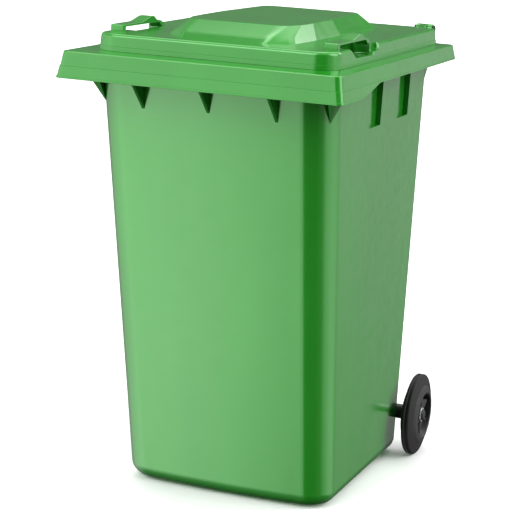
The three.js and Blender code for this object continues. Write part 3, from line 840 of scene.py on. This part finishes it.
# Dark, middle and light shade of each colour.
GREEN_SHADES = ((0.011, 0.18, 0.009), (0.013, 0.2, 0.011), (0.016, 0.22, 0.013))
BLACK_SHADES = ((0.005, 0.005, 0.005), (0.007, 0.007, 0.007), (0.011, 0.011, 0.011))
RUBBER_SHADES = ((0.006, 0.006, 0.006), (0.01, 0.01, 0.01), (0.016, 0.015, 0.015))
ZINC_SHADES = ((0.42, 0.43, 0.45), (0.66, 0.67, 0.69))
GREEN_TINT = (0.55, 1, 0.55)
FLOW_STRETCH = (1, 1, 0.22)    # the mottling runs up and down
FLOW_STOPS = (0.3, 0.5, 0.72)

green = plastic("green_hdpe", GREEN_SHADES, roughness=0.16, grain=0.05, specular=1, tint=GREEN_TINT)
LOOKS = {
    "green_body": green,
    "green_lid": green,
    "black_plastic": plastic("black_plastic_look", BLACK_SHADES, roughness=0.4, grain=0.4, specular=0.3),
    "tyre_rubber": plastic("tyre_rubber_look", RUBBER_SHADES, roughness=0.6, grain=0.5, specular=0.2),
    "zinc_steel": zinc_plate("zinc_look"),
}


# ---- assembly ----------------------------------------------------------------------------------
def place_piece(obj, body, node, slot):
    """Give a piece its look and let it stand in for its CAD node on its body."""
    finish_surface(obj)
    obj.data.materials.append(LOOKS[slot])
    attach(obj, body)
    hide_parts(node)
    return obj


def place_wheel(side, word):
    body = f"wheel_{word}"
    disc = wheel_rim(f"wheel_disc_{word}", side)
    place_piece(disc, body, f"wheel_rim_{word}", "black_plastic")
    ring = tyre(f"tyre_ring_{word}", side)
    place_piece(ring, body, f"tyre_{word}", "tyre_rubber")
    # Keeps the wheel's dark mirror image off the glossy wall beside it.
    disc.visible_glossy = ring.visible_glossy = False


def place_axle_fittings(side, word):
    """The sleeve between tub and wheel, a washer on each side of the hub, and the end cap."""
    thickness = WASHER["thickness"]
    starts = {
        "inner": WHEEL["hub_inner"] - GAP - thickness,
        "outer": WHEEL["hub_outer"] + GAP,
    }
    spacer = sleeve(f"spacer_{word}", side, BOSS["face"] + GAP, starts["inner"] - GAP, SPACER)
    place_piece(spacer, "bin", f"axle_spacer_{word}", "black_plastic")
    for where, start in starts.items():
        washer = sleeve(f"washer_{where}_{word}", side, start, start + thickness, WASHER)
        place_piece(washer, "bin", f"{where}_washer_{word}", "zinc_steel")
    place_piece(axle_cap(f"end_cap_{word}", side), "bin", f"axle_cap_{word}", "black_plastic")


def place_hinge_pin(side, word):
    place_piece(hinge_pin(f"pin_{word}", side), "bin", f"hinge_pin_{word}", "black_plastic")
    cap = hinge_pin_cap(f"pin_cap_{word}", side)
    place_piece(cap, "bin", f"hinge_pin_cap_{word}", "black_plastic")


place_piece(bin_moulding(), "bin", "bin_body", "green_body")
place_piece(lid_moulding(), "lid", "lid", "green_lid")
axle_rod = axle_bar("axle_bar", -AXLE["half"], AXLE["half"], AXLE["radius"], AXLE["edge"])
place_piece(axle_rod, "bin", "axle", "zinc_steel")
for side, word in ((1, "right"), (-1, "left")):
    place_wheel(side, word)
    place_axle_fittings(side, word)
    place_hinge_pin(side, word)


# ---- floor, light and camera -------------------------------------------------------------------
STAGE_REACH = 60
STAGE_COLOUR = (0.9, 0.9, 0.9, 1)
STAGE_ROUGHNESS = 0.9

# Light belts round the bin: brightness by bearing (degrees from straight in front, positive towards
# the bin's right), the share of it at each rise (the sine of the elevation), and the brightest value.
FRONT_BELT = (
    [(-180, 0.12), (-150, 0.15), (-125, 0.7), (-100, 1.8), (-70, 3.4), (-50, 4.6), (-34, 4.6),
     (-28, 4.4), (-23, 3.9), (-17, 3.4), (-11, 2.7), (-6, 2.0), (0, 0.1), (66, 0.1), (180, 0.1)],
    [(-1, 0.02), (-0.86, 0.1), (-0.7, 0.55), (-0.57, 0.88), (-0.47, 0.85), (-0.36, 0.8),
     (0, 0.6), (0.1, 0.62), (0.35, 0.66), (0.55, 0)],
    5)
SIDE_BELT = (
    [(-180, 0.04), (48, 0), (64, 0.85), (166, 0.85), (169, 0.06), (180, 0.04)],
    [(-1, 0.02), (-0.45, 0.22), (-0.33, 0.36), (-0.2, 0.64), (-0.05, 0.85), (0.05, 0.8),
     (0.3, 0.5), (0.6, 0)],
    1)
CORNER_BELT = (
    [(-180, 0), (70, 0), (86, 1.4), (110, 1.55), (130, 1.05), (150, 0), (180, 0)],
    [(-1, 0), (-0.62, 0), (-0.5, 0.7), (-0.4, 1), (-0.25, 0.8), (-0.05, 0.45), (0.1, 0.3), (0.2, 0)],
    3)
SKY = [(-1, 0.02), (0.0, 0.04), (0.3, 0.1), (0.5, 0.3), (0.64, 0.6), (0.8, 1.2), (1, 1.2)]
SKY_BRIGHTNESS = 2
# Round softboxes: the way towards each, degrees of full light, degrees where it ends, brightness.
SOFTBOXES = [
    ((-0.27, -0.71, 0.64), 12, 19, 6.5),
    ((0.42, 0.83, 0.4), 8, 14, 3),
    ((0.85, 0.15, 0.5), 22, 30, 4),
    ((-0.2, 0.28, 0.94), 17, 24, 2),
    ((0.02, 0.707, 0.707), 12, 26, 1.2),
]
BEARINGS = (-180, 180)
RISES = (-1, 1)

# Metres and degrees; yaw turns left from looking straight back along the bin.
CAMERA = {
    "place": (1.4797, -3.8876, 1.4414), "yaw": 21.089, "pitch": -12.365, "roll": 2.842,
    "lens": 129.73, "sensor": 36, "clip_end": 200,
}


def studio_floor():
    corners = [(-1, -1), (1, -1), (1, 1), (-1, 1)]
    mesh = bpy.data.meshes.new("floor")
    mesh.from_pydata([(x * STAGE_REACH, y * STAGE_REACH, 0) for x, y in corners], [], [(0, 1, 2, 3)])
    floor = bpy.data.objects.new("floor", mesh)
    bpy.context.scene.collection.objects.link(floor)
    material, _, _, shader = new_material("floor_look")
    shader.inputs["Base Color"].default_value = STAGE_COLOUR
    shader.inputs["Roughness"].default_value = STAGE_ROUGHNESS
    mesh.materials.append(material)
    floor.visible_diffuse = False
    floor.visible_glossy = False
    return floor


def studio_light(scene):
    """The world's light: a sky, three belts round the bin and some softboxes, added up."""
    world = bpy.data.worlds.new("studio")
    world.use_nodes = True
    scene.world = world
    nodes, links = world.node_tree.nodes, world.node_tree.links

    def calculate(operation, first, second):
        node = nodes.new("ShaderNodeMath")
        node.operation = operation
        for socket, value in zip(node.inputs, (first, second)):
            if isinstance(value, (int, float)):
                socket.default_value = value
            else:
                links.new(value, socket)
        return node.outputs["Value"]

    direction = nodes.new("ShaderNodeTexCoord").outputs["Generated"]
    split = nodes.new("ShaderNodeSeparateXYZ")
    links.new(direction, split.inputs["Vector"])
    forwards = calculate("MULTIPLY", split.outputs["Y"], -1)
    turn = calculate("ARCTAN2", split.outputs["X"], forwards)
    bearing = calculate("MULTIPLY", turn, 180 / math.pi)
    rise = split.outputs["Z"]

    def grey_ramp(source, limits, pairs, brightest):
        """Brightness by value, from (value, brightness) pairs; `brightest` comes out as 1."""
        low, high = limits
        stops = [((value - low) / (high - low), (grey / brightest,) * 3) for value, grey in pairs]
        return add_ramp(nodes, links, add_range(nodes, links, source, low, high, 0, 1), stops)

    def belt(by_bearing, by_rise, brightest):
        around = grey_ramp(bearing, BEARINGS, by_bearing, brightest)
        upwards = grey_ramp(rise, RISES, by_rise, 1)
        return calculate("MULTIPLY", calculate("MULTIPLY", around, upwards), brightest)

    def softbox(towards, inner, outer, brightness):
        aim = nodes.new("ShaderNodeVectorMath")
        aim.operation = "DOT_PRODUCT"
        aim.inputs[1].default_value = Vector(towards).normalized()
        links.new(direction, aim.inputs[0])
        full, none = math.cos(math.radians(inner)), math.cos(math.radians(outer))
        return add_range(nodes, links, aim.outputs["Value"], none, full, 0, brightness)

    total = calculate("MULTIPLY", grey_ramp(rise, RISES, SKY, SKY_BRIGHTNESS), SKY_BRIGHTNESS)
    for light in (
        *[belt(*shape) for shape in (FRONT_BELT, SIDE_BELT, CORNER_BELT)],
        *[softbox(*shape) for shape in SOFTBOXES],
    ):
        total = calculate("ADD", total, light)
    background = nodes["Background"]
    links.new(total, background.inputs["Color"])
    background.inputs["Strength"].default_value = 1


def main_camera(scene):
    data = bpy.data.cameras.new("camera")
    data.sensor_width = CAMERA["sensor"]
    data.lens = CAMERA["lens"]
    data.clip_end = CAMERA["clip_end"]
    camera = bpy.data.objects.new("camera", data)
    scene.collection.objects.link(camera)
    yaw, pitch, roll = (math.radians(CAMERA[name]) for name in ("yaw", "pitch", "roll"))
    forward = Vector((
        -math.sin(yaw) * math.cos(pitch),
        math.cos(yaw) * math.cos(pitch),
        math.sin(pitch)))
    level = Vector((math.cos(yaw), math.sin(yaw), 0))
    upright = level.cross(forward)
    right = level * math.cos(roll) + upright * math.sin(roll)
    up = upright * math.cos(roll) - level * math.sin(roll)
    turn = Matrix((right, up, -forward)).transposed().to_4x4()
    camera.matrix_world = Matrix.Translation(CAMERA["place"]) @ turn
    scene.camera = camera


scene = bpy.context.scene
scene.view_settings.view_transform = "Standard"
studio_floor()
studio_light(scene)
main_camera(scene)
